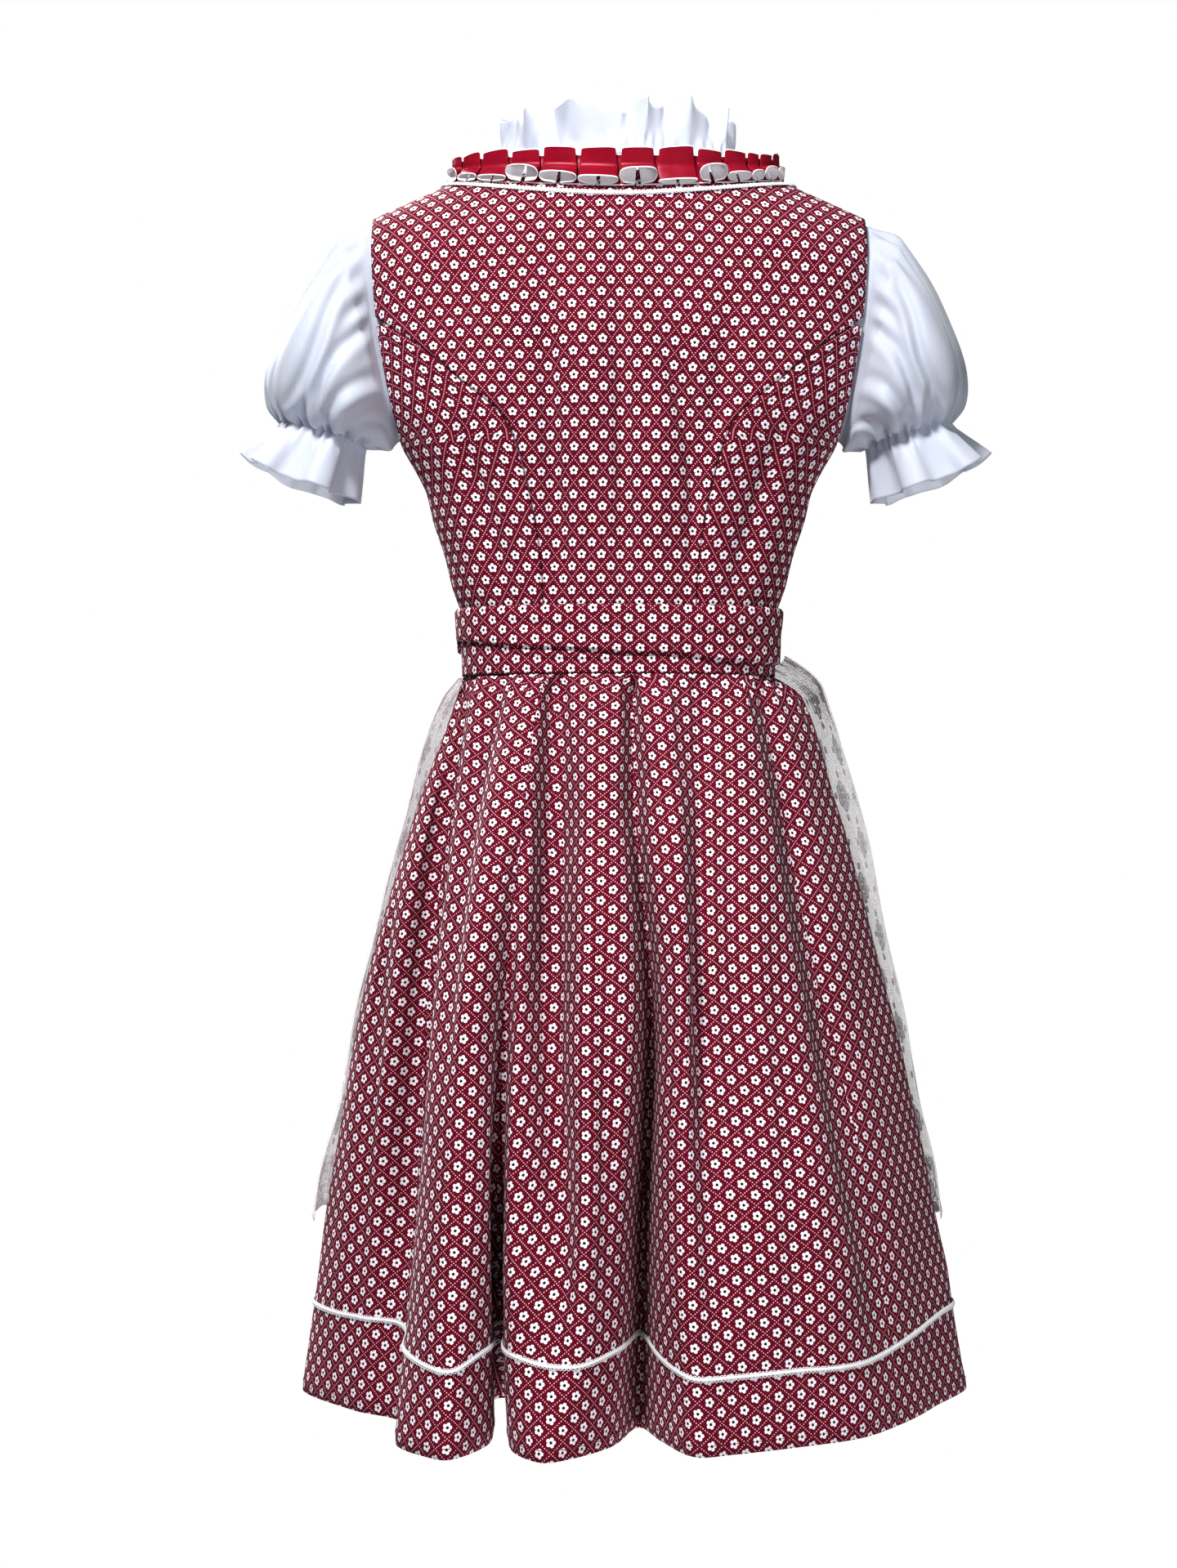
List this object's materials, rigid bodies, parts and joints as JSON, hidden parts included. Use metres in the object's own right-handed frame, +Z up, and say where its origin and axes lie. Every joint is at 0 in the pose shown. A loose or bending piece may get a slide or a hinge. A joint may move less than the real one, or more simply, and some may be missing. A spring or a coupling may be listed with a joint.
{
  "type": "dirndl",
  "caption": "Dirndl set as worn, with no wearer: sleeveless bodice with pleated skirt, puff sleeve blouse under it and a tied lace apron in front, hollow inside.",
  "frame": {"origin": "middle of the neck opening, level with the neck points of the shoulders", "axes": "+Z up towards the collar, +Y out of the back, +X to the wearer's left"},
  "size_m": [0.6252, 0.5316, 1.0591],
  "materials": {
    "print": "wine red cotton with a small white flower repeat",
    "satin": "dark red satin ribbon",
    "blouse": "white cotton",
    "braid": "white picot braid",
    "lace": "white embroidered net"
  },
  "bodies": {
    "root": {"bodice_back_centre": "print", "bodice_side_back_left": "print", "bodice_side_back_right": "print", "bodice_front_left": "print", "bodice_front_right": "print", "skirt_back": "print", "skirt_front": "print", "hem_braid": "braid", "neck_ribbon": "satin", "neck_braid": "braid", "blouse_back": "blouse", "blouse_front": "blouse", "blouse_collar": "blouse", "sleeve_left": "blouse", "sleeve_right": "blouse", "sash": "print", "sash_knot": "print", "tie_end_left": "print", "tie_end_right": "print", "apron": "lace"}
  },
  "joints": []
}
